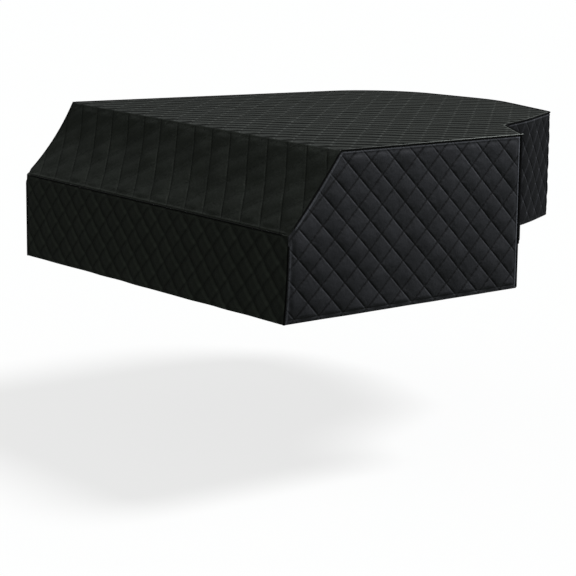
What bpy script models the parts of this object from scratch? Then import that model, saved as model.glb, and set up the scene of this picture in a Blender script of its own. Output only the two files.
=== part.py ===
"""Quilted cover for a grand piano: eight padded panels sewn into a hollow hood, open below.

Metres, +Z up. X runs across the keyboard, bass side at -X. Y runs from the keyboard to the tail.
The origin is under the top panel, in the middle of the lid that the cover lies on.
Sizes are taken at the stitched face of the cloth; the padding between the stitches stands proud of it.
"""

import math

import bmesh
import bpy
import numpy as np

# The whole cover
WIDTH = 1.500              # across the keyboard
FRONT_Y = -0.800           # front edge, seen from the middle of the lid
SLOPE_RUN = 0.192          # front edge to the edge of the top
SLOPE_DROP = 0.234         # top down to the front edge
FRONT_DROP = 0.268         # front edge down to its hem
CHEEK_LENGTH = 0.918       # front edge to the end of the deep sides

# How unevenly it hangs
TOP_TWIST = 0.016          # rise per metre towards the front, all of it on the bass side
TWIST_MIDDLE = 0.875       # distance from the front where the top is level
EDGE_TILT = 0.004          # the front edge is this much high at the bass end and low at the treble end
SAG_BASS = 0.015           # hollow of the slope at its bass end
SAG_TREBLE = 0.004         # and at its treble end
CORNER_LEAN = 0.010        # the front corners lean in this far at the hem
FRONT_FLARE = 0.006        # and the front panel swings out this far

# Drop of each hem below the top
HEM = {
    "front_bass": 0.514,
    "front_treble": 0.502,
    "cheek_rear": 0.491,
    "rim_at_cheek": 0.348,
    "rim_at_tail": 0.362,
}

# Cloth
CLOTH = 0.003              # thickness where it is stitched flat
PUFF = 0.006               # how far the middle of a diamond stands proud of that
DIAMOND = 0.090            # a diamond's diagonal
SLOPE_DIAMOND = 0.098      # the slope is cut from cloth that is stretched a little
FRONT_DIAMOND = 0.0865     # and the front from cloth that is eased a little
MARGIN = 0.012             # pressed flat beside a seam or hem
GAP = 0.0003               # between neighbouring panels
FLATTEST_CELL = 0.02       # a cut-off cell below this share of a diamond stays flat

# Corners of the plan behind the deep sides, seen from the front edge, counterclockwise from above
PLAN_CORNERS = (
    # name, x, distance from the front, radius of the corner
    ("cheek_end", 0.750, 0.926, 0.008),
    ("hollow", 0.516, 1.072, 0.100),
    ("bentside", 0.430, 1.265, 0.800),
    ("tail_treble", 0.289, 1.506, 0.040),
    ("tail_middle", -0.149, 1.662, 0.500),
    ("tail_bass", -0.750, 1.619, 0.281),
)
ARC_STEP = math.radians(14)    # bend of the wall between two points of an arc
SEAM_LEAD = 0.006              # a seam lies this far clear of the arc beside it
PATCH = 0.270                  # longest stretch of plain back that is left flat
SLOPE_STRIPS = 6               # strips that follow the slope's hollow

CLOTH_BLACK = (0.016, 0.016, 0.018)    # linear colour of the satin outer cloth
TOP_BLACK = (0.022, 0.023, 0.022)      # the top, greyer where light grazes it

FIELD = 1                      # marks the quilted faces while a panel is cut


def remove_everything():
    """Start from an empty scene."""
    for thing in list(bpy.data.objects):
        bpy.data.objects.remove(thing, do_unlink=True)


def lift(x, y):
    """Rise of the top above its level: nothing on the treble side, a slow twist on the bass side."""
    return TOP_TWIST * (0.5 - x / WIDTH) * (TWIST_MIDDLE - (y - FRONT_Y))


def top_z(x, y):
    """Height of the top's stitched face."""
    return CLOTH + lift(x, y)


def edge_z(x):
    """Height of the front edge, where slope and front meet."""
    return CLOTH - SLOPE_DROP - EDGE_TILT * 2 * x / WIDTH


def sag_depth(x):
    """Depth of the slope's hollow."""
    return SAG_TREBLE + (SAG_BASS - SAG_TREBLE) * (0.5 - x / WIDTH)


def swing(y, z):
    """Share of the front corner's lean: 1 at its hem, 0 at the front edge and at the end of the sides."""
    low = np.clip((CLOTH - SLOPE_DROP - z) / FRONT_DROP, 0, None) ** 2
    near = np.clip(1 - (y - FRONT_Y) / CHEEK_LENGTH, 0, 1)
    return low * near


def inset(outline, distances):
    """Outline moved inwards: edge i, from point i to the next one, by distances[i]."""
    points = np.asarray(outline, float)
    along = np.roll(points, -1, axis=0) - points
    along /= np.linalg.norm(along, axis=1)[:, None]
    inward = np.stack([-along[:, 1], along[:, 0]], axis=1)
    moved = []
    for i, point in enumerate(points):
        sides = np.stack([inward[i - 1], inward[i]])
        shift = np.linalg.lstsq(sides, [distances[i - 1], distances[i]], rcond=1e-6)[0]
        moved.append(point + shift)
    return np.array(moved)


def cut(bm, faces, place, normal):
    """Cut the faces, and what bounds them, with an upright plane."""
    edges = dict.fromkeys(edge for face in faces for edge in face.edges)
    verts = dict.fromkeys(vert for face in faces for vert in face.verts)
    bmesh.ops.bisect_plane(bm, geom=[*faces, *edges, *verts], dist=1e-5, plane_co=place, plane_no=normal)


def quilt(bm, diamond, start):
    """Cut the field along two families of stitch lines and raise the middle of each cell."""
    for lean in (1, -1):
        first = start[0] + lean * start[1]
        places = [vert.co.x + lean * vert.co.y - first for vert in bm.verts]
        for k in range(math.floor(min(places) / diamond), math.ceil(max(places) / diamond) + 1):
            field = [face for face in bm.faces if face.material_index == FIELD]
            cut(bm, field, (first + k * diamond, 0, 0), (1, lean, 0))
    whole = diamond ** 2 / 2
    cells = [face for face in bm.faces if face.material_index == FIELD
             and face.calc_area() > FLATTEST_CELL * whole]
    for middle in bmesh.ops.poke(bm, faces=cells, center_mode="MEAN_WEIGHTED")["verts"]:
        area = sum(face.calc_area() for face in middle.link_faces)
        middle.co.z = PUFF * min(1, math.sqrt(area / whole))


def panel(name, outline, turns, surface, diamond=DIAMOND, start=(0, 0), cuts_u=(), cuts_v=(),
          colour=CLOTH_BLACK):
    """One padded panel, drawn flat and then laid on its surface.

    turns[i] is the angle in degrees that the cover turns through at the seam along edge i, or None at a hem.
    A seam is mitred: the back is cut shorter than the face by the thickness times tan(turn / 2).
    """
    half = [None if turn is None else math.radians(turn / 2) for turn in turns]
    seam = [0 if a is None else GAP / 2 / math.cos(a) for a in half]
    mitre = [0 if a is None else CLOTH * math.tan(a) for a in half]
    rim = inset(outline, seam)
    field = inset(rim, [MARGIN] * len(outline))
    back = inset(outline, np.add(seam, mitre))

    bm = bmesh.new()
    loops = []
    for loop, height in ((rim, 0), (field, 0), (back, -CLOTH)):
        loops.append([bm.verts.new((u, v, height)) for u, v in loop])
    rim_verts, field_verts, back_verts = loops
    for i in range(len(outline)):
        j = (i + 1) % len(outline)
        bm.faces.new((rim_verts[i], rim_verts[j], field_verts[j], field_verts[i]))
        bm.faces.new((back_verts[i], back_verts[j], rim_verts[j], rim_verts[i]))
    bm.faces.new(list(reversed(back_verts)))
    bm.faces.new(field_verts).material_index = FIELD

    quilt(bm, diamond, start)
    for places, axis in ((cuts_u, 0), (cuts_v, 1)):
        for place in places:
            point = [place * (axis == 0), place * (axis == 1), 0]
            cut(bm, list(bm.faces), point, (axis == 0, axis == 1, 0))
    bmesh.ops.triangulate(bm, faces=bm.faces[:])

    flat = np.array([vert.co[:] for vert in bm.verts])
    for vert, place in zip(bm.verts, surface(flat[:, 0], flat[:, 1], flat[:, 2])):
        vert.co = place
    for face in bm.faces:
        face.material_index = 0
    mesh = bpy.data.meshes.new(name)
    bm.to_mesh(mesh)
    bm.free()
    mesh.materials.append(cloth_material(name + "_cloth", colour))
    item = bpy.data.objects.new(name, mesh)
    bpy.context.scene.collection.objects.link(item)
    return item


def cloth_material(name, colour):
    """Dull black satin."""
    material = bpy.data.materials.new(name)
    material.use_nodes = True
    shader = material.node_tree.nodes["Principled BSDF"]
    shader.inputs["Base Color"].default_value = (*colour, 1)
    shader.inputs["Roughness"].default_value = 0.62
    shader.inputs["Metallic"].default_value = 0.0
    return material


def even_cuts(low, high, longest):
    """Places that part a stretch into equal lengths no longer than the given one."""
    count = math.ceil((high - low) / longest)
    return [low + (high - low) * k / count for k in range(1, count)]


def plan_path():
    """The plan from the treble front corner of the top round the tail to the bass one.

    Returns its points and, by name, the point at which each wall's seam stands.
    """
    names = [row[0] for row in PLAN_CORNERS]
    corners = [np.array((x, FRONT_Y + away)) for _, x, away, _ in PLAN_CORNERS]
    radii = [row[3] for row in PLAN_CORNERS]
    ends = np.array((WIDTH / 2, FRONT_Y + SLOPE_RUN)), np.array((-WIDTH / 2, FRONT_Y + SLOPE_RUN))
    route = [ends[0], *corners, ends[1]]
    points = [ends[0]]
    seams = {}
    for i, name in enumerate(names):
        before, corner, after = route[i:i + 3]
        to_before = (before - corner) / np.linalg.norm(before - corner)
        to_after = (after - corner) / np.linalg.norm(after - corner)
        opening = math.acos(np.clip(to_before @ to_after, -1, 1))
        reach = radii[i] / math.tan(opening / 2)
        towards_centre = (to_before + to_after) / np.linalg.norm(to_before + to_after)
        centre = corner + towards_centre * radii[i] / math.sin(opening / 2)
        if name == "cheek_end":
            seams[name] = len(points)
            points.append(np.array((WIDTH / 2, FRONT_Y + CHEEK_LENGTH)))
        if name == "tail_treble":
            seams[name] = len(points)
            points.append(corner + to_before * (reach + SEAM_LEAD))
        bend = math.pi - opening
        steps = max(2, math.ceil(bend / ARC_STEP))
        spoke = corner + to_before * reach - centre
        side = np.sign(to_before[0] * to_after[1] - to_before[1] * to_after[0])
        for k in range(steps + 1):
            turn = -side * bend * k / steps
            turned = (spoke[0] * math.cos(turn) - spoke[1] * math.sin(turn),
                      spoke[0] * math.sin(turn) + spoke[1] * math.cos(turn))
            points.append(centre + np.array(turned))
        if name == "tail_bass":
            seams[name] = len(points)
            points.append(corner + to_after * (reach + SEAM_LEAD))
    seams["cheek_start"] = len(points)
    points.append(np.array((-WIDTH / 2, FRONT_Y + CHEEK_LENGTH)))
    points.append(ends[1])
    return np.array(points), seams


def outward_mitres(points):
    """For each point of the plan, the step that moves both walls beside it out by one."""
    along = np.diff(points, axis=0)
    along /= np.linalg.norm(along, axis=1)[:, None]
    out = np.stack([along[:, 1], -along[:, 0]], axis=1)
    before = np.vstack([out[:1], out])
    after = np.vstack([out, out[-1:]])
    return (before + after) / (1 + np.sum(before * after, axis=1))[:, None]


def rim_wall(name, points, mitres, drops):
    """A hanging side that follows the plan, cut to the given drops at its two ends."""
    lengths = np.concatenate([[0], np.cumsum(np.linalg.norm(np.diff(points, axis=0), axis=1))])

    def surface(u, v, w):
        x, y = np.interp(u, lengths, points[:, 0]), np.interp(u, lengths, points[:, 1])
        out_x, out_y = np.interp(u, lengths, mitres[:, 0]), np.interp(u, lengths, mitres[:, 1])
        return np.stack([x + w * out_x, y + w * out_y, top_z(x, y) + v], axis=1)

    total = lengths[-1]
    outline = ((0, -drops[0]), (total, -drops[1]), (total, 0), (0, 0))
    panel(name, outline, (None, 0, 90, 0), surface, start=(total / 2, 0), cuts_u=lengths[1:-1])


def slope_profile(x, share):
    """Point of the slope at a share of the way up from the front edge: height and distance back."""
    y = FRONT_Y + SLOPE_RUN * share
    z = edge_z(x) + (top_z(x, FRONT_Y + SLOPE_RUN) - edge_z(x)) * share
    hollow = 4 * sag_depth(x) * share * (1 - share)
    length = math.hypot(SLOPE_RUN, SLOPE_DROP)
    return y + hollow * SLOPE_DROP / length, z - hollow * SLOPE_RUN / length


def top_panel(points):
    """The flat top, cut to the plan."""
    outline = [(-WIDTH / 2, FRONT_Y + SLOPE_RUN), *points[:-1]]
    slope_turn = math.degrees(math.atan2(SLOPE_DROP, SLOPE_RUN))
    turns = [slope_turn] + [90] * (len(outline) - 1)
    back_y = max(y for _, y in outline)
    panel("top_panel", outline, turns, lambda u, v, w: np.stack([u, v, top_z(u, v) + w], axis=1),
          cuts_u=even_cuts(-WIDTH / 2, WIDTH / 2, PATCH),
          cuts_v=even_cuts(FRONT_Y + SLOPE_RUN, back_y, PATCH), colour=TOP_BLACK)


def slope_panel():
    """The slope over the keyboard, hollow between its two edges."""
    length = math.hypot(SLOPE_RUN, SLOPE_DROP)
    out_y, out_z = -SLOPE_DROP / length, SLOPE_RUN / length

    def surface(u, v, w):
        y, z = slope_profile(u, v / length)
        return np.stack([u, y + w * out_y, z + w * out_z], axis=1)

    rungs = [length * k / SLOPE_STRIPS for k in range(SLOPE_STRIPS + 1)]
    right = [(WIDTH / 2, v) for v in rungs]
    left = [(-WIDTH / 2, v) for v in reversed(rungs)]
    slope_turn = math.degrees(math.atan2(SLOPE_DROP, SLOPE_RUN))
    turns = [90] * SLOPE_STRIPS + [slope_turn] + [90] * SLOPE_STRIPS + [90 - slope_turn]
    panel("slope_panel", right + left, turns, surface, diamond=SLOPE_DIAMOND, start=(0, length),
          cuts_u=even_cuts(-WIDTH / 2, WIDTH / 2, PATCH), cuts_v=rungs[1:-1])


def front_panel():
    """The upright front over the keyslip, swinging out a little at its hem."""
    slope_turn = math.degrees(math.atan2(SLOPE_DROP, SLOPE_RUN))

    def surface(u, v, w):
        low = swing(FRONT_Y, v)
        x = u * (1 - CORNER_LEAN * low / (WIDTH / 2))
        return np.stack([x, FRONT_Y - FRONT_FLARE * low - w, v], axis=1)

    outline = ((-WIDTH / 2, CLOTH - HEM["front_bass"]), (WIDTH / 2, CLOTH - HEM["front_treble"]),
               (WIDTH / 2, edge_z(WIDTH / 2)), (-WIDTH / 2, edge_z(-WIDTH / 2)))
    panel("front_panel", outline, (None, 90, 90 - slope_turn, 90), surface, diamond=FRONT_DIAMOND,
          start=(-WIDTH / 2, CLOTH - SLOPE_DROP), cuts_u=even_cuts(-WIDTH / 2, WIDTH / 2, PATCH),
          cuts_v=even_cuts(CLOTH - HEM["front_bass"], CLOTH - SLOPE_DROP, PATCH / 3))


def cheek_panel(name, side, front_hem):
    """A deep side beside the keyboard; side is 1 at the treble end and -1 at the bass end.

    It is drawn flat in Y and Z, with Y turned round on the bass side so that its face looks out.
    """
    x = side * WIDTH / 2
    rear = FRONT_Y + CHEEK_LENGTH
    corners = [(FRONT_Y, CLOTH - front_hem), (rear, CLOTH - HEM["cheek_rear"]), (rear, top_z(x, rear))]
    turns = [None, 0, 90]
    for k in range(SLOPE_STRIPS, -1, -1):
        corners.append(slope_profile(x, k / SLOPE_STRIPS))
        turns.append(90)
    outline = [(side * y, z) for y, z in corners]
    if side < 0:
        outline = outline[::-1]
        turns = turns[-2::-1] + turns[-1:]

    def surface(u, v, w):
        y = side * u
        lean = swing(y, v)
        return np.stack([side * (WIDTH / 2 - CORNER_LEAN * lean + w), y - FRONT_FLARE * lean, v], axis=1)

    panel(name, outline, turns, surface, start=(side * (FRONT_Y + 0.125), CLOTH - 0.037),
          cuts_u=even_cuts(*sorted((side * FRONT_Y, side * rear)), PATCH),
          cuts_v=even_cuts(CLOTH - front_hem, CLOTH, PATCH / 3))


def main():
    remove_everything()
    points, seams = plan_path()
    mitres = outward_mitres(points)
    stretches = (
        # wall, first seam, last seam, drop at the first, drop at the last
        ("bentside_panel", "cheek_end", "tail_treble", "rim_at_cheek", "rim_at_tail"),
        ("tail_panel", "tail_treble", "tail_bass", "rim_at_tail", "rim_at_tail"),
        ("bass_rim_panel", "tail_bass", "cheek_start", "rim_at_tail", "rim_at_cheek"),
    )
    for name, first, last, first_drop, last_drop in stretches:
        part = slice(seams[first], seams[last] + 1)
        rim_wall(name, points[part], mitres[part], (HEM[first_drop], HEM[last_drop]))
    top_panel(points)
    slope_panel()
    front_panel()
    cheek_panel("treble_cheek_panel", 1, HEM["front_treble"])
    cheek_panel("bass_cheek_panel", -1, HEM["front_bass"])


main()
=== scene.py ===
# %% [markdown]
# # A quilted grand piano cover
# The cover is a hood of black padded satin, open below. Eight panels are sewn together: a flat top, a slope
# that comes down from it, an upright front, two deep sides, called cheeks here, and three shallower walls
# that follow the curved side round the tail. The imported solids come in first. They fix where every panel
# lies, and each new panel is laid on the same surface.

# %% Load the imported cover
import math

import bpy
import numpy as np
from mathutils import Matrix, Vector


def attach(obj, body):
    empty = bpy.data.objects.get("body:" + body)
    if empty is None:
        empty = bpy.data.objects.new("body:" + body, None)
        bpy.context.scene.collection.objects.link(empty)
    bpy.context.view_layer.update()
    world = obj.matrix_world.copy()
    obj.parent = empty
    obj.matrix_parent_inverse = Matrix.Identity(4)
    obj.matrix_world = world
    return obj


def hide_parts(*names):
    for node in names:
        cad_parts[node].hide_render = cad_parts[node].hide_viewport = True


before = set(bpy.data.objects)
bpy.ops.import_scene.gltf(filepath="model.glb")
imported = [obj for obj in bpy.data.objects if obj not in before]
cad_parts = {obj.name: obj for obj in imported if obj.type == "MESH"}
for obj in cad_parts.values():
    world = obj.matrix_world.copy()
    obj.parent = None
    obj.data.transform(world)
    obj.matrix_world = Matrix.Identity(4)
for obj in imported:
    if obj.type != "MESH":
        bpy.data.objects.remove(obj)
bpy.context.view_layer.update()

scene = bpy.context.scene

# %% [markdown]
# ## The camera
# The photograph was taken from a long way off, at eye height, past the treble front corner. The camera's
# turn, height and distance were worked out from the straight edges of the cover, so the lens is a long one
# and needs no shift. A camera looks along its own -Z, so its matrix is built from three arms: right, up and
# back.

# %% The camera
IMAGE = 576                # pixels, both ways
FOCAL_PIXELS = 1971.9
SENSOR = 36.0              # millimetres
CAMERA_TURN = 0.91565      # radians from straight in front towards the treble side
CAMERA_HEIGHT = 0.19398    # radians above level
CAMERA_ROLL = 0.01078
CAMERA_PLACE = (5.2112, -4.2277, 0.7193)
CLIP_END = 300             # metres, past the far edge of the floor


def camera_arms(turn, height, roll):
    """Right, up and back of a camera: back leans up by height, right is level, both then roll about back."""
    back = np.array((math.sin(turn) * math.cos(height), -math.cos(turn) * math.cos(height), math.sin(height)))
    level = np.cross((0, 0, 1), back)
    level /= np.linalg.norm(level)
    above = np.cross(back, level)
    right = math.cos(roll) * level + math.sin(roll) * above
    up = math.cos(roll) * above - math.sin(roll) * level
    return right, up, back


camera = bpy.data.objects.new("camera", bpy.data.cameras.new("camera"))
camera.data.sensor_width = SENSOR
camera.data.lens = FOCAL_PIXELS / IMAGE * SENSOR
camera.data.clip_end = CLIP_END
camera.matrix_world = Matrix.Translation(CAMERA_PLACE) @ Matrix(
    np.column_stack(camera_arms(CAMERA_TURN, CAMERA_HEIGHT, CAMERA_ROLL)).tolist()).to_4x4()
scene.collection.objects.link(camera)
scene.camera = camera
print("lens:", round(camera.data.lens, 2), "mm")

# %% [markdown]
# ## How the cover hangs
# Every panel is a flat cut of cloth laid on a surface. A surface is a function of three numbers: two places
# in the flat cut, u and v, and the height w above the stitched face. The values are those of the packed
# solids: the top twists a little at its bass end, the slope is hollow, and the front corners lean in
# towards the hem.

# %% Sizes of the whole cover, in metres
WIDTH = 1.500              # across the front
FRONT_Y = -0.800           # front edge
SLOPE_RUN = 0.192          # front edge to the edge of the top
SLOPE_DROP = 0.234         # top down to the front edge
FRONT_DROP = 0.268         # front edge down to its hem
CHEEK_LENGTH = 0.918       # front edge to the end of the cheeks
TOP_TWIST = 0.016          # rise per metre towards the front, all of it on the bass side
TWIST_MIDDLE = 0.875       # distance from the front where the top is level
EDGE_TILT = 0.004          # the front edge is this much high at the bass end and low at the treble end
SAG_BASS = 0.015           # hollow of the slope at its bass end
SAG_TREBLE = 0.004         # and at its treble end
CORNER_LEAN = 0.010        # the front corners lean in this far at the hem
FRONT_FLARE = 0.006        # and the front swings out this far
CLOTH = 0.003              # thickness where it is stitched flat
HEM_DROP = {               # each hem below the top
    "front_bass": 0.514, "front_treble": 0.502, "cheek_rear": 0.491,
    "rim_at_cheek": 0.348, "rim_at_tail": 0.362,
}
SLOPE_LENGTH = math.hypot(SLOPE_RUN, SLOPE_DROP)
SLOPE_TURN = math.atan2(SLOPE_DROP, SLOPE_RUN)
print("width:", WIDTH, "m, hems below the top:", HEM_DROP)


# %% The heights of the top and of the slope
def top_z(x, y):
    """Height of the top: level on the treble side, with a slow twist that grows towards the bass side."""
    return CLOTH + TOP_TWIST * (0.5 - x / WIDTH) * (TWIST_MIDDLE - (y - FRONT_Y))


def edge_z(x):
    """Height of the front edge: a straight line, a little high at its bass end."""
    return CLOTH - SLOPE_DROP - EDGE_TILT * 2 * x / WIDTH


def slope_profile(x, share):
    """Place at a share of the way up the slope: the straight line, pushed in by 4 sag share (1 - share)."""
    sag = SAG_TREBLE + (SAG_BASS - SAG_TREBLE) * (0.5 - x / WIDTH)
    hollow = 4 * sag * share * (1 - share)
    y = FRONT_Y + SLOPE_RUN * share
    z = edge_z(x) + (top_z(x, FRONT_Y + SLOPE_RUN) - edge_z(x)) * share
    return y + hollow * SLOPE_DROP / SLOPE_LENGTH, z - hollow * SLOPE_RUN / SLOPE_LENGTH


def swing(y, z):
    """Share of the front corner's lean: the square of the way down the front, less towards the tail."""
    low = np.clip((CLOTH - SLOPE_DROP - z) / FRONT_DROP, 0, None) ** 2
    near = np.clip(1 - (y - FRONT_Y) / CHEEK_LENGTH, 0, 1)
    return low * near


# %% The surfaces that the panels lie on
def on_top(u, v, w):
    """The top: x = u, y = v, and the height of the top plus w."""
    return np.stack([u, v, top_z(u, v) + w], axis=1)


def on_slope(u, v, w):
    """The slope: x = u, and v climbs its profile; w stands square to it."""
    y, z = slope_profile(u, v / SLOPE_LENGTH)
    return np.stack([u, y - w * SLOPE_DROP / SLOPE_LENGTH, z + w * SLOPE_RUN / SLOPE_LENGTH], axis=1)


def on_front(u, v, w):
    """The front: x = u less its share of the lean, z = v, and w points forwards."""
    lean = swing(FRONT_Y, v)
    return np.stack([u * (1 - CORNER_LEAN * lean / (WIDTH / 2)), FRONT_Y - FRONT_FLARE * lean - w, v], axis=1)


def on_cheek(side):
    """A cheek: y = side u, z = v, and w points out; side is 1 at the treble end and -1 at the bass end."""
    def surface(u, v, w):
        lean = swing(side * u, v)
        x = side * (WIDTH / 2 - CORNER_LEAN * lean + w)
        return np.stack([x, side * u - FRONT_FLARE * lean, v], axis=1)
    return surface


def on_wall(points):
    """A wall on a path: u runs along it, z is the top's height plus v, and w goes out along its mitres."""
    along = np.diff(points, axis=0)
    lengths = np.concatenate([[0], np.cumsum(np.linalg.norm(along, axis=1))])
    along /= np.linalg.norm(along, axis=1)[:, None]
    out = np.stack([along[:, 1], -along[:, 0]], axis=1)
    before, after = np.vstack([out[:1], out]), np.vstack([out, out[-1:]])
    mitres = (before + after) / (1 + np.sum(before * after, axis=1))[:, None]

    def surface(u, v, w):
        x, y = (np.interp(u, lengths, points[:, k]) for k in (0, 1))
        out_x, out_y = (np.interp(u, lengths, mitres[:, k]) for k in (0, 1))
        return np.stack([x + w * out_x, y + w * out_y, top_z(x, y) + v], axis=1)
    return surface, lengths[-1]


print("slope:", round(SLOPE_LENGTH, 4), "m long, leaning", round(math.degrees(SLOPE_TURN), 1), "degrees")

# %% [markdown]
# ## The plan of the curved side
# Seen from above, the cover runs straight back from the cheek, swings in, follows the bent side to the tail
# and comes round to the straight bass side. A path with rounded corners gives that: each corner is an arc
# that touches the straight line before it and the one after it. The walls hang from this path and the top
# is cut to it.

# %% The plan
PLAN_CORNERS = (
    # name, x, distance from the front, radius of the corner
    ("cheek_end", 0.750, 0.926, 0.0),
    ("hollow", 0.516, 1.072, 0.100),
    ("bentside", 0.430, 1.265, 0.800),
    ("tail_treble", 0.289, 1.506, 0.040),
    ("tail_middle", -0.149, 1.662, 0.500),
    ("tail_bass", -0.750, 1.619, 0.281),
)
ARC_STEP = math.radians(4)     # bend between two points of an arc
SEAM_LEAD = 0.006              # a seam lies this far clear of the arc beside it


def rounded_corner(before, corner, after, radius):
    """Points of the arc that touches both lines at a corner, first to last, and how far back it starts."""
    to_before = (before - corner) / np.linalg.norm(before - corner)
    to_after = (after - corner) / np.linalg.norm(after - corner)
    opening = math.acos(np.clip(to_before @ to_after, -1, 1))
    reach = radius / math.tan(opening / 2)
    bend = math.pi - opening
    steps = max(1, math.ceil(bend / ARC_STEP))
    if radius == 0:
        return corner[None], reach, to_before, to_after
    halfway = (to_before + to_after) / np.linalg.norm(to_before + to_after)
    centre = corner + halfway * radius / math.sin(opening / 2)
    side = np.sign(to_before[0] * to_after[1] - to_before[1] * to_after[0])
    turn = -side * bend * np.arange(steps + 1) / steps
    spoke = corner + to_before * reach - centre
    arc = np.stack([spoke[0] * np.cos(turn) - spoke[1] * np.sin(turn),
                    spoke[0] * np.sin(turn) + spoke[1] * np.cos(turn)], axis=1)
    return centre + arc, reach, to_before, to_after


def plan_path():
    """Points of the plan, from the top's treble front corner round to its bass one, and the seams' places."""
    corners = [np.array((x, FRONT_Y + away)) for _, x, away, _ in PLAN_CORNERS]
    start = np.array((WIDTH / 2, FRONT_Y + SLOPE_RUN))
    finish = start * (-1, 1)
    cheek_rear = np.array((WIDTH / 2, FRONT_Y + CHEEK_LENGTH))
    route = [start, *corners, finish]
    points, seams = [start], {}
    for i, (name, _, _, radius) in enumerate(PLAN_CORNERS):
        arc, reach, to_before, to_after = rounded_corner(*route[i:i + 3], radius)
        if name == "cheek_end":
            seams[name] = len(points)
            points.append(cheek_rear)
        if name == "tail_treble":
            seams[name] = len(points)
            points.append(route[i + 1] + to_before * (reach + SEAM_LEAD))
        points.extend(arc)
        if name == "tail_bass":
            seams[name] = len(points)
            points.append(route[i + 1] + to_after * (reach + SEAM_LEAD))
    seams["cheek_start"] = len(points)
    points.extend([cheek_rear * (-1, 1), finish])
    return np.array(points), seams


plan, plan_seams = plan_path()
plan_length = float(np.linalg.norm(np.diff(plan, axis=0), axis=1).sum())
print("plan:", len(plan), "points,", round(plan_length, 3), "m round")

# %% [markdown]
# ## Quilting
# The cloth is quilted before it is cut: two families of straight stitch lines cross at right angles, and
# the wadding puffs up between them. A grid that fits the quilting, with its squares' diagonals on the
# stitch lines, keeps every line sharp with few faces. The grid is trimmed to the panel, its ragged edge is
# pulled onto a line just inside the outline, and a border of close rows carries the cloth from there to the
# seam or the hem.

# %% Sizes of the quilting
PUFF = 0.006               # how far the middle of a diamond stands proud of the stitching
DIAMOND = 0.090            # a diamond's diagonal
SLOPE_DIAMOND = 0.113      # the slope is cut from wider quilting
SLOPE_GRAIN = math.radians(9.6)    # and its cloth is turned this far from the lines' even slant
FRONT_DIAMOND = 0.0865     # the front is cut from cloth that is eased a little
BORDER = 0.014             # width of the border rows
FULLNESS = 0.55            # power of the pillow: 1 is a soft wave, smaller is fuller with sharper lines
PRESSED = (0.005, 0.026)   # the cloth is flat up to the first distance from an edge and full from the second
LOOSE = 0.15               # the cloth waves freely from this distance from its seams on
SHARP = 0.35               # a corner that bends by more than this, in radians, keeps its point
SUNK = (0.012, 0.028)      # round a plain corner the welt is gone up to the first and whole from the second
FAR_OFF = 10.0             # metres, further than any edge
STRAIGHT = 0.99999         # cosine between two edges that count as one straight line
MM = 0.001
WELD = 0.15 * MM           # points that fall in the same cell of this size become one

# Rows of the border from the quilting outwards: distance from the outline and height, in millimetres
SEAM_ROWS = ((12.0, 0.4), (9.6, 1.3), (7.4, 1.8), (5.4, 1.4), (3.9, 0.2))
HEM_ROWS = ((12.9, -0.8), (12.0, -0.2), (10.8, 0.3), (8.0, 0.5), (4.0, 0.4), (2.0, 0.25), (0.9, -0.1),
            (0.35, -0.5), (0.08, -1.0), (0, -1.5))
WELT_RADIUS = 2.9          # millimetres, of the narrow raised edge in which a seam's two layers are bound
WELT_RISE = 0.8            # how far its middle stands out from the corner
WELT_SHARES = (0, 0.27, 0.52, 0.77, 1)
FOLD_RADIUS = 0.012
FOLD_SHARES = (0, 0.12, 0.24, 0.37, 0.5, 0.63, 0.76, 0.88, 0.98, 1)
print("diamonds:", DIAMOND, "m, on the slope", SLOPE_DIAMOND, "m and on the front", FRONT_DIAMOND, "m")


# %% Flat outlines
def inset(outline, distances):
    """Outline moved inwards, edge i (from point i on) by distances[i]; each corner solves both its edges."""
    along = np.roll(outline, -1, axis=0) - outline
    along /= np.linalg.norm(along, axis=1)[:, None]
    after = np.stack([-along[:, 1], along[:, 0]], axis=1)
    before = np.roll(after, 1, axis=0)
    d_after = np.asarray(distances, float)
    d_before = np.roll(d_after, 1)
    cosine = np.sum(before * after, axis=1)
    straight = cosine > STRAIGHT
    spread = np.where(straight, 1, 1 - cosine ** 2)
    share_before = np.where(straight, d_before / 2, (d_before - d_after * cosine) / spread)
    share_after = np.where(straight, d_after / 2, (d_after - d_before * cosine) / spread)
    return outline + before * share_before[:, None] + after * share_after[:, None]


def nearest_on(outline, points, edges=None):
    """For each point: how far the nearest of the outline's edges is, or of some, which it is, and where."""
    best = np.full(len(points), FAR_OFF)
    edge = np.zeros(len(points), int)
    share = np.zeros(len(points))
    ends = np.roll(outline, -1, axis=0)
    for i in range(len(outline)) if edges is None else edges:
        step = ends[i] - outline[i]
        t = np.clip((points - outline[i]) @ step / (step @ step), 0, 1)
        away = np.linalg.norm(points - outline[i] - t[:, None] * step, axis=1)
        closer = away < best
        best, edge, share = (np.where(closer, new, old)
                             for new, old in ((away, best), (i, edge), (t, share)))
    return best, edge, share


def inside(outline, points):
    """Whether each point is inside: a line to its right crosses the outline an odd number of times."""
    within = np.zeros(len(points), bool)
    x, y = points.T
    for (ax, ay), (bx, by) in zip(outline, np.roll(outline, -1, axis=0)):
        if ay != by:
            crossing = (ay > y) != (by > y)
            within ^= crossing & (x < ax + (bx - ax) * (y - ay) / (by - ay))
    return within


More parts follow.
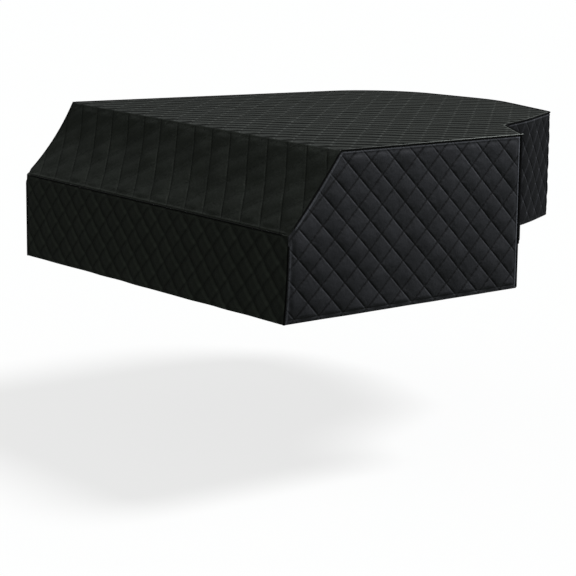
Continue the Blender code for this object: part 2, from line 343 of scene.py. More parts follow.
# %% The trimmed grid
def trimmed_grid(line, diamond, start, steps):
    """Grid fitted to the quilting and trimmed to a line; its step is half a diamond divided by steps.

    Returns its flat points, its triangles, its boundary edges in order of travel, and the boundary's points.
    """
    step = diamond / 2 / steps
    low = np.floor((line.min(axis=0) - start) / step).astype(int) - 1
    high = np.ceil((line.max(axis=0) - start) / step).astype(int) + 1
    i, j = np.meshgrid(np.arange(low[0], high[0]), np.arange(low[1], high[1]), indexing="ij")
    middles = np.stack([(i + 0.5).ravel(), (j + 0.5).ravel()], axis=1) * step + start
    kept = inside(line, middles)
    i, j = i.ravel()[kept], j.ravel()[kept]
    rows = high[1] - low[1] + 1
    number = (i - low[0]) * rows + (j - low[1])
    quads = np.stack([number, number + rows, number + rows + 1, number + 1], axis=1)

    period = 2 * steps
    rising = (i - j) % period
    falling = (i + j + 1) % period
    split = np.minimum(rising, period - rising) <= np.minimum(falling, period - falling)
    a, b, c, d = quads.T
    first = np.where(split[:, None], np.stack([a, b, c], axis=1), np.stack([a, b, d], axis=1))
    second = np.where(split[:, None], np.stack([a, c, d], axis=1), np.stack([b, c, d], axis=1))
    triangles = np.concatenate([first, second])

    sides = np.concatenate([quads[:, [0, 1]], quads[:, [1, 2]], quads[:, [2, 3]], quads[:, [3, 0]]])
    key = sides.min(axis=1) * (number.max() + rows + 2) + sides.max(axis=1)
    _, where, counts = np.unique(key, return_index=True, return_counts=True)
    edges = sides[where[counts == 1]]

    used, packed = np.unique(triangles, return_inverse=True)
    triangles = packed.reshape(-1, 3)
    edges = np.searchsorted(used, edges)
    points = np.stack([used // rows + low[0], used % rows + low[1]], axis=1) * step + start
    rim = np.unique(edges)
    return points, triangles, edges, rim


def pull_to_line(points, rim, line, corners):
    """For each rim point the line's nearest edge and the share along it; corners get their nearest points."""
    _, edge, share = nearest_on(line, points[rim])
    for corner in corners:
        near = np.argmin(np.linalg.norm(points[rim] - line[corner], axis=1))
        edge[near], share[near] = corner, 0
    return edge, share


print("border of", len(SEAM_ROWS), "rows,", BORDER / MM, "mm wide")

# %% [markdown]
# ## Where the panels meet
# Along a seam the two layers are bound into a narrow raised edge, a welt, which is the blackest line on the
# cover, and a soft roll of cloth runs beside it on each panel. A welt is round, so each panel carries half
# of its circle, up to the line that halves the angle between the panels; the halves run a hair past it, so
# that no light comes through. At the hem the cloth is turned up and stitched 12 mm above its edge. The top
# and the slope share one soft fold with no welt: each panel carries half of the bend.

# %% Border rows
OVERLAP = 0.0001
WELT_START = math.radians(-20)     # the welt's circle starts below the face of the panel
WELT_LAP = math.radians(5)


def border_rows(turn):
    """Distance from the outline and height of each row at a seam, a hem (None) or a fold ("fold").

    A fold is an arc that touches both panels. A welt is an arc about a point on the line that halves the
    angle between them.
    """
    if turn is None:
        return np.array(HEM_ROWS) * MM
    if turn == "fold":
        half = SLOPE_TURN / 2
        angle = half * np.array(FOLD_SHARES)
        rows = FOLD_RADIUS * np.stack([math.tan(half) - np.sin(angle), np.cos(angle) - 1], axis=1)
        return rows - (OVERLAP, 0)
    outward = math.pi / 2 + turn / 2
    angle = WELT_START + (outward + WELT_LAP - WELT_START) * np.array(WELT_SHARES)
    welt = np.stack([WELT_RISE * math.cos(outward) + WELT_RADIUS * np.cos(angle),
                     WELT_RISE * math.sin(outward) + WELT_RADIUS * np.sin(angle)], axis=1)
    return np.vstack([SEAM_ROWS, welt]) * MM


print("rows at a square seam:", len(border_rows(math.pi / 2)), "and at a hem:", len(border_rows(None)))

# %% Soft steps and soft unevenness
RIPPLE_WAVES = 5
RIPPLE_LENGTH = 0.42       # metres, of the longest wave
RIPPLE_SHRINK = 0.74       # each wave's length, as a share of the one before
RIPPLE_TURN = 2.4          # radians from the direction of one wave to the next
RIPPLE_SEED = (1.7, 1.3)   # how much the seed turns the waves, and how much it shifts each of them
RIPPLE_HEIGHT = 2.6        # the sum is divided by this


def soft_step(value, low, high):
    """0 up to low, 1 from high, and 3 t t - 2 t t t between them."""
    t = np.clip((value - low) / (high - low), 0, 1)
    return t * t * (3 - 2 * t)


def ripple(u, v, seed):
    """Soft unevenness from about -1 to 1: a sum of sine waves of different lengths and directions."""
    total = 0
    for k in range(RIPPLE_WAVES):
        angle = RIPPLE_TURN * k + RIPPLE_SEED[0] * seed
        length = RIPPLE_LENGTH * RIPPLE_SHRINK ** k
        along = u * math.cos(angle) + v * math.sin(angle)
        total = total + np.sin(2 * math.pi * along / length + RIPPLE_SEED[1] * k * seed)
    return total / RIPPLE_HEIGHT


# %% The relief of the quilting
CELL_SCATTER = (12.9898, 78.233, 43758.5453)     # numbers with no common pattern, so that neighbours differ
CELL_FILL = (0.85, 0.30)   # the emptiest cell's share of the full height, and how much more the fullest has


def pillows(u, v, diamond, start, depths, powers):
    """Height of the wadding: the product of two sine waves, each to its power, a little uneven by cell.

    depths say how far each family of lines, rising and falling, is drawn in, from 0 to 1 for right down.
    """
    a = (u - start[0] - (v - start[1])) / diamond
    b = (u - start[0] + (v - start[1])) / diamond
    drawn = [1 - deep * (1 - np.abs(np.sin(math.pi * k)) ** power)
             for k, deep, power in zip((a, b), depths, powers)]
    scatter = np.sin(CELL_SCATTER[0] * np.floor(a) + CELL_SCATTER[1] * np.floor(b)) * CELL_SCATTER[2]
    fill = CELL_FILL[0] + CELL_FILL[1] * (scatter - np.floor(scatter))
    return PUFF * drawn[0] * drawn[1] * fill, np.stack([a, b], axis=1)


# %% A whole panel
def quilted_panel(name, outline, turns, surface, diamond=DIAMOND, start=(0, 0), steps=9, seed=1, wave=0.0012,
                  depths=(0.9, 1.0), powers=(FULLNESS, FULLNESS), full=1.0, plain_corners=()):
    """One padded panel, drawn flat and laid on its surface.

    turns[i] is the angle at the seam along edge i, None at a hem and "fold" at the soft fold. Heights are
    the border's rows, or the pillows where the cloth isn't pressed, plus a soft ripple that dies away at the
    seams. depths and powers shape the pillows and full scales them. Near the plain corners the welt sinks in.
    """
    outline, start = np.asarray(outline, float), np.asarray(start, float)
    count = len(outline)
    rows = np.stack([border_rows(turn) for turn in turns])
    line = inset(outline, [BORDER] * count)
    along = np.roll(outline, -1, axis=0) - outline
    heading = np.arctan2(along[:, 1], along[:, 0])
    bend = np.abs((heading - np.roll(heading, 1) + math.pi) % (2 * math.pi) - math.pi)
    points, triangles, edges, rim = trimmed_grid(line, diamond, start, steps)
    edge, share = pull_to_line(points, rim, line, np.nonzero(bend > SHARP)[0])
    points[rim] = line[edge] + (line[(edge + 1) % count] - line[edge]) * share[:, None]

    flat, plain, height = [points], [points], [np.zeros(len(points))]
    ring = np.full(len(points), -1)
    ring[rim] = np.arange(len(rim))
    faces = [triangles]
    inner = rim
    at_corner = share == 0
    for k in range(rows.shape[1]):
        cuts = [inset(outline, distances) for distances in (rows[:, k, 0], np.maximum(rows[:, k, 0], 0))]
        row, plain_row = (cut[edge] + (cut[(edge + 1) % count] - cut[edge]) * share[:, None] for cut in cuts)
        rise = np.where(at_corner, np.minimum(rows[edge, k, 1], rows[edge - 1, k, 1]), rows[edge, k, 1])
        outer = sum(len(part) for part in flat) + np.arange(len(rim))
        here, there = ring[edges].T
        faces.append(np.stack([inner[here], outer[here], outer[there]], axis=1))
        faces.append(np.stack([inner[here], outer[there], inner[there]], axis=1))
        flat.append(row)
        plain.append(plain_row)
        height.append(rise)
        inner = outer
    flat, plain, height, faces = (np.concatenate(part) for part in (flat, plain, height, faces))

    seams = [i for i, turn in enumerate(turns) if turn not in (None, "fold")]
    hems = [i for i, turn in enumerate(turns) if turn is None]
    any_edge = nearest_on(outline, flat)[0]
    seam = nearest_on(outline, flat, edges=seams)[0]
    seam = np.where(inside(outline, flat) | (seam > BORDER), seam, -seam)
    hem = nearest_on(outline, flat, edges=hems)[0]
    u, v = flat.T
    puff, quilt = pillows(u, v, diamond, start, depths, powers)
    unpressed = soft_step(any_edge, *PRESSED)
    soft = wave * ripple(u, v, seed) * soft_step(np.where(hem < any_edge + MM, seam, any_edge), 0, LOOSE)
    placed = surface(u, v, height + full * puff * unpressed + soft)
    smooth = surface(*plain.T, soft + np.where(any_edge < BORDER, 0, height + puff * unpressed))
    for corner in plain_corners:
        near = 1 - soft_step(np.linalg.norm(smooth - corner, axis=1), *SUNK)
        seam = seam + near
        placed = placed + (smooth - placed) * near[:, None]
    return build_sheet(name, placed, faces, quilt, {"seam": seam, "hem": hem})


# %% From arrays to a mesh
def build_sheet(name, placed, faces, quilt, marks):
    """Mesh of one face of the cloth, with the quilting as its UV map and each mark as an attribute."""
    key = np.round(placed / WELD).astype(np.int64)
    _, keep, stand_in = np.unique(key, axis=0, return_index=True, return_inverse=True)
    faces = stand_in.reshape(-1)[faces]
    a, b, c = faces.T
    faces = faces[(a != b) & (b != c) & (c != a)]
    mesh = bpy.data.meshes.new(name)
    mesh.from_pydata(placed[keep].tolist(), [], faces.tolist())
    uv = mesh.uv_layers.new(name="quilt")
    uv.data.foreach_set("uv", quilt[keep][faces.ravel()].astype(np.float32).ravel())
    for mark, values in marks.items():
        mesh.attributes.new(mark, "FLOAT", "POINT").data.foreach_set("value", values[keep].astype(np.float32))
    mesh.polygons.foreach_set("use_smooth", np.ones(len(faces), bool))
    mesh.update()
    piece = bpy.data.objects.new(name, mesh)
    scene.collection.objects.link(piece)
    thick = piece.modifiers.new("thickness", "SOLIDIFY")
    thick.thickness = CLOTH
    thick.offset = -1
    print(name, len(faces), "triangles on its face")
    return piece


def sew_in(piece, node):
    """Hangs a finished panel on the root body and hides the imported node whose place it takes."""
    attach(piece, "root")
    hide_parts(node)


# %% [markdown]
# ## Shader maths
# A mask in a material is arithmetic on numbers that change over the surface. Wrapping a socket in a small
# class lets that arithmetic be written as Python, and each sign adds one Math node.

# %% Numbers in a shader
class Number:
    """An output socket with the signs of arithmetic."""

    def __init__(self, finish, socket):
        self.finish, self.socket = finish, socket

    def maths(self, operation, *values):
        return self.finish.node("ShaderNodeMath", {"operation": operation}, dict(enumerate(values)))

    def __add__(self, other):
        return self.maths("ADD", self, other)

    def __sub__(self, other):
        return self.maths("SUBTRACT", self, other)

    def __rsub__(self, other):
        return self.maths("SUBTRACT", other, self)

    def __mul__(self, other):
        return self.maths("MULTIPLY", self, other)

    def __abs__(self):
        return self.maths("ABSOLUTE", self)

    __radd__, __rmul__ = __add__, __mul__

    def fraction(self):
        return self.maths("FRACT", self)

    def wave(self):
        return self.maths("SINE", self)

    def smaller(self, other):
        return self.maths("MINIMUM", self, other)


class Finish:
    """A material being made."""

    def __init__(self, name):
        self.material = bpy.data.materials.new(name)
        self.material.use_nodes = True
        self.tree = self.material.node_tree
        self.tree.nodes.clear()

    def node(self, kind, settings, values, out=0):
        """Adds a node: its settings first, then the values or links of its sockets. Returns one output."""
        node = self.tree.nodes.new(kind)
        for setting, value in settings.items():
            setattr(node, setting, value)
        for socket, value in values.items():
            if isinstance(value, Number):
                self.tree.links.new(value.socket, node.inputs[socket])
            else:
                node.inputs[socket].default_value = value
        return Number(self, node.outputs[out]) if node.outputs else None

    def ease(self, value, low, high, first=0.0, last=1.0):
        """Goes smoothly from first to last while the value goes from low to high."""
        return self.node("ShaderNodeMapRange", {"interpolation_type": "SMOOTHSTEP"},
                         {0: value, 1: low, 2: high, 3: first, 4: last})

    def blend(self, factor, first, last):
        """Mixes two colours."""
        return self.node("ShaderNodeMix", {"data_type": "RGBA"}, {0: factor, 6: first, 7: last}, out=2)

    def attribute(self, name):
        return self.node("ShaderNodeAttribute", {"attribute_name": name}, {}, out=2)

    def noise(self, place, scale, detail=2.0):
        return self.node("ShaderNodeTexNoise", {}, {"Vector": place, "Scale": scale, "Detail": detail})

    def bump(self, height, strength, distance, below=None):
        """A Bump node, on top of the one below it."""
        values = {"Strength": strength, "Distance": distance, "Height": height}
        if below is not None:
            values["Normal"] = below
        return self.node("ShaderNodeBump", {}, values)


# %% [markdown]
# ## The cloth
# The real cloth is a dull black satin over wadding. It has a fine weave, a faint sheen where it is seen at
# a slant, tiny puckers that run into every stitch line, a thread that dips in and out along the line, and a
# groove at each seam that is darker than anything round it. The tops of the rolls beside the seams are
# painted paler, a little for wear and mostly as a painted highlight. Black cloth sends back so little light
# that its relief hardly shows. So painted light and shade help it: a strip of painted shade past every
# stitch line and one of painted light before it, painted shade that grows along or up some panels, a
# painted highlight along the top's treble edge, and painted shade that widens the black of the far edges.
# Each panel has its own black, a lit or shaded copy of one black, because each faces the light another way.
# The pattern reads the panel's own quilting map, in which every stitch line lies at a whole number.

# %% Colours and sizes of the cloth
# The blacks below are lit and shaded copies of one black: how they differ is painted light and shade, as each
# panel faces the light another way.
BLACK = (0.0335, 0.0372, 0.0322)
CHEEK_BLACK = (0.0366, 0.0374, 0.0436)
WALL_BLACK = (0.0225, 0.0230, 0.0260)
BENTSIDE_BLACK = (0.0142, 0.0144, 0.0166)
TOP_BLACK = (0.0500, 0.0530, 0.0505)
WELT_BLACK = (0.0020, 0.0020, 0.0020, 1)
THREAD_BLACK = (0.019, 0.019, 0.019, 1)
THREAD_COVER = 0.8         # how much of the thread's own colour shows
SHEEN = 0.02
SHEEN_ROUGHNESS = 0.4
SHEEN_TINT = (0.8, 0.85, 1.0, 1)
SPECULAR = 0.20
ROUGHNESS = 0.60

STITCH = 0.0045            # metres from one stitch to the next
STITCH_DIP = (0.34, 0.42)  # shares of a stitch from its middle, where the thread starts to dip and is gone
THREAD = (0.0003, 0.0006)  # half the thread's width, without and with its soft edge
STRIP_CORE = 0.25          # share of a strip of painted shade that has its full shade
RIM_CORE = 0.2             # and of a strip of painted light
BLACK_FADE = 0.0012        # width of the soft edge of a seam's black
ROLL_END = (0.0040, 0.0070)        # past the black, where the paler part of a roll, painted highlight with a little wear, starts and ends to fade
HEM_EDGE = (0.0016, 0.0034)        # the black edge of a hem, without and with its soft edge
WEAVE = 0.0009             # from one thread of the weave to the next
PUCKER_REACH = 0.018       # the puckers have died away this far from a line
GROOVE = 0.0016            # half the width of the groove along a line
PATCHES, LINT, PUCKERS, CREASES = 9.0, 160.0, 95.0, 24.0   # scales of the noises, larger is finer
PATCH_SPAN, LINT_SPAN = (0.3, 0.7), (0.3, 0.75)    # values of those noises that count as lowest and highest
PATCH_SHADES = (0.86, 1.12)        # darkest and lightest patch
PATCH_ROUGH = (-0.04, 0.05)        # added to the roughness of them
LINT_SHADES = (0.92, 1.10)
WELT_ROUGH = (0.001, 0.004, 0.3, 0)        # near and far from a seam, and what is added to the roughness
ROLL_POLISH = 0.12         # taken from the roughness along the rolls beside the seams
WEAVE_BUMP = (1.0, 0.00005)        # strength and height, in metres
PUCKER_BUMP = (0.8, 0.0022)
CREASE_BUMP = (0.7, 0.0040)
GROOVE_BUMP = (0.4, 0.0003)
THREAD_LIFT = 0.5          # share of the groove's depth that the thread fills
EDGE_FADE = 0.010          # metres over which a panel's edge goes over into the rest
HIGHLIGHT_FULL = 0.004         # the painted highlight on the edge is at full brightness this far before the panel's end
HIGHLIGHT_GAIN = 9                  # this many times the cloth's own colour are added as painted highlight
HIGHLIGHT_START = 0.15         # share of that at the end where it begins
# soft edge of the painted shade that widens the far edges' black
FAR_SHADE_FADE = 0.0015


# %% Stitch lines
def stitch_lines(finish, parts, across, shaded, past, reach, lit, rim):
    """Distance to the nearest stitch line, mask of the thread, and shade of the cloth beside the lines.

    Each family of lines lies at the whole numbers of one part of the quilting map. The signed distance from
    a line is the fraction of that part plus a half, less a half, times the width across a diamond. shaded is
    how dark the strip of painted shade is whose middle lies past the line and whose half width is reach. lit
    is how light the strip of painted light is whose middle lies before the line, by rim, which is also its
    half width.
    """
    lines, threads, shades = [], [], []
    for number, other, dark, middle, far, light in zip(parts, parts[::-1], shaded, past, reach, lit):
        away = ((number + 0.5).fraction() - 0.5) * across
        dash = finish.ease(abs((other * (across / STITCH)).fraction() - 0.5), *STITCH_DIP, 1, 0)
        lines.append(abs(away))
        threads.append(finish.ease(abs(away), *THREAD, 1, 0) * dash)
        shades.append(finish.ease(abs(away - middle), far * STRIP_CORE, far, dark, 1)
                      * finish.ease(abs(away + rim), rim * RIM_CORE, rim, light, 1))
    return lines[0].smaller(lines[1]), (threads[0] + threads[1]).smaller(1), shades[0] * shades[1]


# %% Weave, puckers and creases
def cloth_relief(finish, place, u, v, diamond, line, seam, thread, creased):
    """Four bumps, finest first: the weave, the puckers by lines and seams, the creases and the groove."""
    turns = 2 * math.pi / (WEAVE / (diamond / 2))
    weave = (u * turns).wave() * (v * turns).wave()
    puckers = finish.noise(place, PUCKERS) * finish.ease(line.smaller(seam), 0.0, PUCKER_REACH, 1, 0)
    creases = finish.noise(place, CREASES, 3.0)
    groove = finish.ease(line, 0.0, GROOVE, 0, 1) + thread * THREAD_LIFT
    relief = finish.bump(weave, *WEAVE_BUMP)
    for fold, (strength, height) in ((puckers, PUCKER_BUMP), (creases, CREASE_BUMP)):
        relief = finish.bump(fold, strength * creased, height, relief)
    return finish.bump(groove, *GROOVE_BUMP, relief)


# %% The satin
def quilted_satin(name, colour, diamond=DIAMOND, roughness=ROUGHNESS, specular=SPECULAR, shaded=(0.65, 0.55),
                  past=(0.0010, 0.0010), reach=(0.0034, 0.0034), lit=(1.0, 1.0), rim=0.0030, wear_and_highlight=0.5,
                  creased=1.0, bound=0.0030, painted_gradient=None, painted_highlight=None, wide=None, polish_and_highlight_ends=None):
    """Black satin for one size of quilting, with lengths in metres.

    shaded, past, reach, lit and rim shape the strips of painted shade and painted light beside the two
    families of stitch lines. worn is how much paler the roll beside a seam is painted, a little
    for wear and mostly as a painted highlight. creased is how strong the puckers are, and bound how far out a
    seam is black.
    graded paints shade along a panel (0) or up it (1), as painted light and shade: from where, to where,
    and both shades.
    shiny makes the edge that lies along one x bright instead of black, as a painted highlight, more and
    more from one y to another.
    wide makes the black of the seams below one x and above one y reach as far as its last number, as
    painted shade that draws the far edges' dark outline.
    polished makes the rolls paler near the ends of a panel, as more painted highlight, and smoother: from
    where, to where, and how many times.
    """
    finish = Finish(name)
    quilt = finish.node("ShaderNodeUVMap", {"uv_map": "quilt"}, {})
    parts = [finish.node("ShaderNodeSeparateXYZ", {}, {0: quilt}, out=k) for k in (0, 1)]
    u, v = parts[0] + parts[1], parts[1] - parts[0]
    place = finish.node("ShaderNodeTexCoord", {}, {}, out=3)
    seam, hem = finish.attribute("seam"), finish.attribute("hem")
    # The strips by the stitch lines are painted shade and painted light on the flanks of the pillows.
    line, thread, beside = stitch_lines(finish, parts, diamond / math.sqrt(2), shaded, past, reach, lit, rim)

    patchy, lint = finish.noise(place, PATCHES, 3.0), finish.noise(place, LINT)
    shade = finish.ease(patchy, *PATCH_SPAN, *PATCH_SHADES) * finish.ease(lint, *LINT_SPAN, *LINT_SHADES)
    # Painted shade: some panels are darker or lighter along or up them, where less or more light falls.
    if painted_gradient:
        shade = shade * finish.ease((u, v)[painted_gradient[0]] * (diamond / 2), *painted_gradient[1:])
    # The paler roll beside a seam is a little wear and mostly a painted highlight; the same mask smooths the
    # roughness there.
    fading = [bound + end for end in ROLL_END]
    roll_wear_and_highlight = finish.ease(seam, bound, bound + BLACK_FADE) * finish.ease(seam, *fading, 1, 0)
    # Near the ends of a panel the rolls get more painted highlight, and a smoother roughness.
    if polish_and_highlight_ends:
        roll_wear_and_highlight = roll_wear_and_highlight * finish.ease(abs(u) * (diamond / 2), polish_and_highlight_ends[0], polish_and_highlight_ends[1], 1, polish_and_highlight_ends[2])
    strength = shade * (beside + wear_and_highlight * roll_wear_and_highlight)
    black = finish.ease(seam, bound - BLACK_FADE, bound, 1, 0)
    if painted_highlight or wide:
        x, y = (finish.node("ShaderNodeSeparateXYZ", {}, {0: place}, out=k) for k in (0, 1))
    # Painted highlight along one edge of the top, in place of its black.
    if painted_highlight:
        painted_shine = finish.ease(x, painted_highlight[0] - EDGE_FADE, painted_highlight[0] - HIGHLIGHT_FULL)
        strength = strength + HIGHLIGHT_GAIN * painted_shine * finish.ease(y, painted_highlight[1], painted_highlight[2], HIGHLIGHT_START, 1)
        black = black * (1 - painted_shine)
    # Painted shade: along the far edges the seams' black reaches further, as a dark outline.
    if wide:
        beyond = (finish.ease(x, wide[0] - EDGE_FADE, wide[0], 1, 0)
                  + finish.ease(y, wide[1], wide[1] + EDGE_FADE))
        black = black + finish.ease(seam, wide[2] - FAR_SHADE_FADE, wide[2], 1, 0) * beyond
    black = black + finish.ease(hem, *HEM_EDGE, 1, 0)

    cloth = finish.node("ShaderNodeVectorMath", {"operation": "SCALE"}, {0: colour, "Scale": strength})
    cloth = finish.blend(thread * THREAD_COVER, cloth, THREAD_BLACK)
    cloth = finish.blend(black.smaller(1), cloth, WELT_BLACK)
    patchy_rough = finish.ease(patchy, *PATCH_SPAN, *(roughness + more for more in PATCH_ROUGH))
    rough = patchy_rough + finish.ease(seam, *WELT_ROUGH)
    shader = finish.node("ShaderNodeBsdfPrincipled", {}, {
        "Base Color": cloth, "Roughness": rough - ROLL_POLISH * roll_wear_and_highlight,
        "Normal": cloth_relief(finish, place, u, v, diamond, line, seam, thread, creased),
        "Specular IOR Level": specular, "Sheen Weight": SHEEN, "Sheen Roughness": SHEEN_ROUGHNESS,
        "Sheen Tint": SHEEN_TINT})
    finish.node("ShaderNodeOutputMaterial", {}, {0: shader})
    print(name, len(finish.tree.nodes), "nodes")
    return finish.material


# %% One satin for each kind of panel
# These settings paint each panel's light and shade: the strips by the lines, the paler rolls, the gradients,
# one highlighted edge and the dark far edges.
top_satin = quilted_satin("top_satin", TOP_BLACK, roughness=0.45, specular=0.08, shaded=(0.08, 1.0),
                          past=(-0.0040, 0.0), reach=(0.0180, 0.0034), lit=(1.0, 1.5), rim=0.0055, wear_and_highlight=1.6,
                          creased=0.15, bound=0.0042, painted_gradient=(0, -0.80, 0.10, 0.82, 1),
                          painted_highlight=(WIDTH / 2, -0.60, 0.08), wide=(-0.72, 0.70, 0.012))
cheek_satin = quilted_satin("cheek_satin", CHEEK_BLACK, shaded=(0.42, 0.5), reach=(0.0050, 0.0034),
                            lit=(1.0, 1.5), wear_and_highlight=1.4, creased=1.2, bound=0.0034,
                            painted_gradient=(1, -0.26, -0.02, 1.0, 1.2), polish_and_highlight_ends=(0.765, 0.785, 3.0))
wall_satin = quilted_satin("wall_satin", WALL_BLACK, specular=0.1, shaded=(1.0, 0.8), lit=(1.8, 1.8),
                           wear_and_highlight=1.0)
bentside_satin = quilted_satin("bentside_satin", BENTSIDE_BLACK, specular=0.08, shaded=(2.2, 0.7),
                               past=(0.0030, 0.0020), reach=(0.0060, 0.0050), lit=(1.0, 3.2), rim=0.0045,
                               wear_and_highlight=4.0, painted_gradient=(0, -0.28, 0.20, 0.30, 1))
slope_satin = quilted_satin("slope_satin", BLACK, SLOPE_DIAMOND, shaded=(0.85, 0.35), lit=(1.0, 1.2),
                            rim=0.0040, wear_and_highlight=0.2, bound=0.0026)
front_satin = quilted_satin("front_satin", BLACK, FRONT_DIAMOND, shaded=(0.73, 0.64), past=(0.0030, 0.0060),
                            reach=(0.0110, 0.0150), lit=(1.2, 1.65), rim=0.0110, wear_and_highlight=0.2, bound=0.0026)

# %% [markdown]
# ## The top
# The top lies flat and is cut to the plan. It is the largest panel and is seen at a low slant, so its grid
# is the coarsest. In the photograph one family of its stitch lines is deep and the other shallow, and the
# relief follows that. Its front edge is the soft fold, and every other edge is a seam over a square corner.

# %% The top
SQUARE = math.pi / 2
FRONT_CORNERS = [np.array((side * WIDTH / 2, FRONT_Y, edge_z(side * WIDTH / 2))) for side in (1, -1)]

top_outline = np.vstack([[(-WIDTH / 2, FRONT_Y + SLOPE_RUN)], plan[:-1]])
top = quilted_panel("quilted_top", top_outline, ["fold"] + [SQUARE] * (len(top_outline) - 1), on_top, steps=6,
                    seed=1, wave=0.0008, depths=(1.0, 0.3), powers=(FULLNESS, 0.3), full=0.6)
top.data.materials.append(top_satin)
sew_in(top, "top_panel")

# %% [markdown]
# ## The slope
# The slope is held only at its edges, so it sags. It shares the soft fold with the top. Beside each cheek
# there is a seam over a square corner, and at its foot a blunter one. Its cloth was turned a little before
# it was cut, so its stitch lines lean. The grid has to follow the lines, so here the cut is turned instead,
# and its surface turns it back.

# %% The slope
def turned(points, angle):
    """Flat points turned about the origin by an angle: x cos - y sin, and x sin + y cos."""
    x, y = np.asarray(points).T
    cos, sin = math.cos(angle), math.sin(angle)
    return np.stack([x * cos - y * sin, x * sin + y * cos], axis=1)


def on_turned_slope(u, v, w):
    """The slope, for a cut that was turned about the middle of the fold: its points are turned back first."""
    u, v = turned(np.stack([u, v], axis=1), -SLOPE_GRAIN).T
    return on_slope(u, v + SLOPE_LENGTH, w)


slope_outline = np.array([
    (-WIDTH / 2, 0), (WIDTH / 2, 0), (WIDTH / 2, SLOPE_LENGTH), (-WIDTH / 2, SLOPE_LENGTH)])
slope = quilted_panel("quilted_slope", turned(slope_outline - (0, SLOPE_LENGTH), SLOPE_GRAIN),
                      [SQUARE - SLOPE_TURN, SQUARE, "fold", SQUARE], on_turned_slope,
                      diamond=SLOPE_DIAMOND, seed=2, wave=0.0025, depths=(0.6, 1.0), powers=(1.2, FULLNESS),
                      full=0.75, plain_corners=FRONT_CORNERS)
slope.data.materials.append(slope_satin)
sew_in(slope, "slope_panel")

# %% [markdown]
# ## The front
# The front hangs straight down from the foot of the slope to a hem, and swings out a little as it goes.
# Padded cloth is stiff and hangs nearly flat, so the swing is a formula and no cloth is simulated.

# %% The front
front_outline = np.array([
    (-WIDTH / 2, CLOTH - HEM_DROP["front_bass"]), (WIDTH / 2, CLOTH - HEM_DROP["front_treble"]),
    (WIDTH / 2, edge_z(WIDTH / 2)), (-WIDTH / 2, edge_z(-WIDTH / 2))])
front = quilted_panel("quilted_front", front_outline, [None, SQUARE, SQUARE - SLOPE_TURN, SQUARE], on_front,
                      diamond=FRONT_DIAMOND, start=(-WIDTH / 2, CLOTH - SLOPE_DROP), seed=3, wave=0.0020,
                      plain_corners=FRONT_CORNERS)
front.data.materials.append(front_satin)
sew_in(front, "front_panel")

# %% [markdown]
# ## The cheeks
# Each cheek is one deep panel with five sides: the hem, the upright seam to the wall behind, the seam along
# the top, the seam down the slope, and the front corner. The treble cheek is the nearest panel of all, so
# its grid is finest. One function draws both. The bass cheek isn't a mirrored copy, because its hem hangs
# lower, the slope sags more beside it, and a mirrored mesh has its faces inside out.

# %% The cheeks
SLOPE_POINTS = 12
CHEEK_QUILT = (0.125, CLOTH - 0.037)     # a crossing of the stitch lines, from the front edge and in height


def cheek(name, node, side, front_hem, steps, seed):
    """A cheek, drawn flat in y and z.

    On the bass side y changes its sign and the order of the points turns round, so that the face looks out
    there as well.
    """
    rear = FRONT_Y + CHEEK_LENGTH
    down = np.linspace(1, 0, SLOPE_POINTS + 1)
    slope_y, slope_z = slope_profile(side * WIDTH / 2, down)
    outline = np.vstack([[(FRONT_Y, CLOTH - front_hem), (rear, CLOTH - HEM_DROP["cheek_rear"]),
                          (rear, top_z(side * WIDTH / 2, rear))], np.stack([slope_y, slope_z], axis=1)])
    turns = [None, 0.0] + [SQUARE] * (len(outline) - 2)
    if side < 0:
        outline = outline[::-1] * (-1, 1)
        turns = turns[-2::-1] + turns[-1:]
    piece = quilted_panel(name, outline, turns, on_cheek(side),
                          start=(side * (FRONT_Y + CHEEK_QUILT[0]), CHEEK_QUILT[1]), steps=steps, seed=seed,
                          plain_corners=FRONT_CORNERS)
    piece.data.materials.append(cheek_satin)
    sew_in(piece, node)


cheek("quilted_treble_cheek", "treble_cheek_panel", 1, HEM_DROP["front_treble"], steps=12, seed=4)
cheek("quilted_bass_cheek", "bass_cheek_panel", -1, HEM_DROP["front_bass"], steps=9, seed=5)

# %% [markdown]
# ## The walls
# Behind the cheeks the cover is shallower. One wall follows the bent side, one goes round the tail, and one
# runs back along the straight bass side. Each is a long strip that hangs from the plan by its top edge.
# They differ only in their part of the plan and in their hems, so one loop over a table makes all three.

# %% The walls
WALLS = (
    # name, node, first seam, last seam, hem at the first, hem at the last, grid steps
    ("quilted_bentside", "bentside_panel", "cheek_end", "tail_treble", "rim_at_cheek", "rim_at_tail", 11),
    ("quilted_tail", "tail_panel", "tail_treble", "tail_bass", "rim_at_tail", "rim_at_tail", 9),
    ("quilted_bass_rim", "bass_rim_panel", "tail_bass", "cheek_start", "rim_at_tail", "rim_at_cheek", 9),
)
for seed, (name, node, first, last, first_hem, last_hem, steps) in enumerate(WALLS, start=6):
    surface, length = on_wall(plan[plan_seams[first]:plan_seams[last] + 1])
    outline = np.array([(0, -HEM_DROP[first_hem]), (length, -HEM_DROP[last_hem]), (length, 0), (0, 0)])
    wall = quilted_panel(name, outline, [None, 0.0, SQUARE, 0.0], surface, start=(length / 2, 0), steps=steps,
                         seed=seed, full=0.8)
    wall.data.materials.append(bentside_satin if name == "quilted_bentside" else wall_satin)
    sew_in(wall, node)

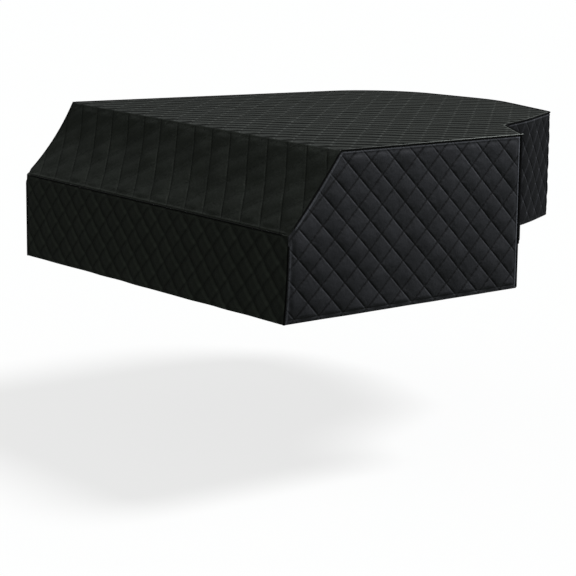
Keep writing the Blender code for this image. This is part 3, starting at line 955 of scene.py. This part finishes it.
# %% [markdown]
# ## Floor and light
# The cover is shown at the height at which it hangs, over a plain pale floor. Black cloth shows its relief
# only if one soft light comes across it, here from above and behind the treble side, with a dim even light
# from all round. The floor takes shadows but sends no light back up, because a bright floor would flatten
# the hanging sides.

# %% The floor
FLOOR_Z = -1.051           # this far below the top
FLOOR_REACH = 120.0        # far enough to fill the picture
FLOOR_WHITE = (0.26, 0.26, 0.26, 1)
FLOOR_GLOW = 0.78

floor_mesh = bpy.data.meshes.new("floor")
floor_corners = [(x * FLOOR_REACH, y * FLOOR_REACH, FLOOR_Z)
                 for x, y in ((-1, -1), (1, -1), (1, 1), (-1, 1))]
floor_mesh.from_pydata(floor_corners, [], [(0, 1, 2, 3)])
floor = bpy.data.objects.new("floor", floor_mesh)
scene.collection.objects.link(floor)
floor.visible_diffuse = False
floor.visible_glossy = False
pale = Finish("pale_floor")
pale_shader = pale.node("ShaderNodeBsdfPrincipled", {}, {
    "Base Color": FLOOR_WHITE, "Roughness": 0.9, "Specular IOR Level": 0.0,
    "Emission Color": (1, 1, 1, 1), "Emission Strength": FLOOR_GLOW})
pale.node("ShaderNodeOutputMaterial", {}, {0: pale_shader})
floor_mesh.materials.append(pale.material)

# %% The light
SIDE_LIGHT_FROM = (0.30, 0.50, 0.81)
SIDE_LIGHT_STRENGTH = 2.75
SIDE_LIGHT_COLOUR = (0.98, 0.99, 1.0)
SIDE_LIGHT_SPREAD = math.radians(20)
ROUND_LIGHT = (0.124, 0.134, 0.121, 1)

side_light = bpy.data.objects.new("side_light", bpy.data.lights.new("side_light", "SUN"))
side_light.data.energy = SIDE_LIGHT_STRENGTH
side_light.data.angle = SIDE_LIGHT_SPREAD
side_light.data.color = SIDE_LIGHT_COLOUR
side_light.rotation_euler = Vector(SIDE_LIGHT_FROM).to_track_quat("Z", "Y").to_euler()
scene.collection.objects.link(side_light)
print("side light from", SIDE_LIGHT_FROM)
world = bpy.data.worlds.new("round_light")
world.use_nodes = True
world.node_tree.nodes["Background"].inputs[0].default_value = ROUND_LIGHT
scene.world = world
scene.view_settings.view_transform = "Standard"
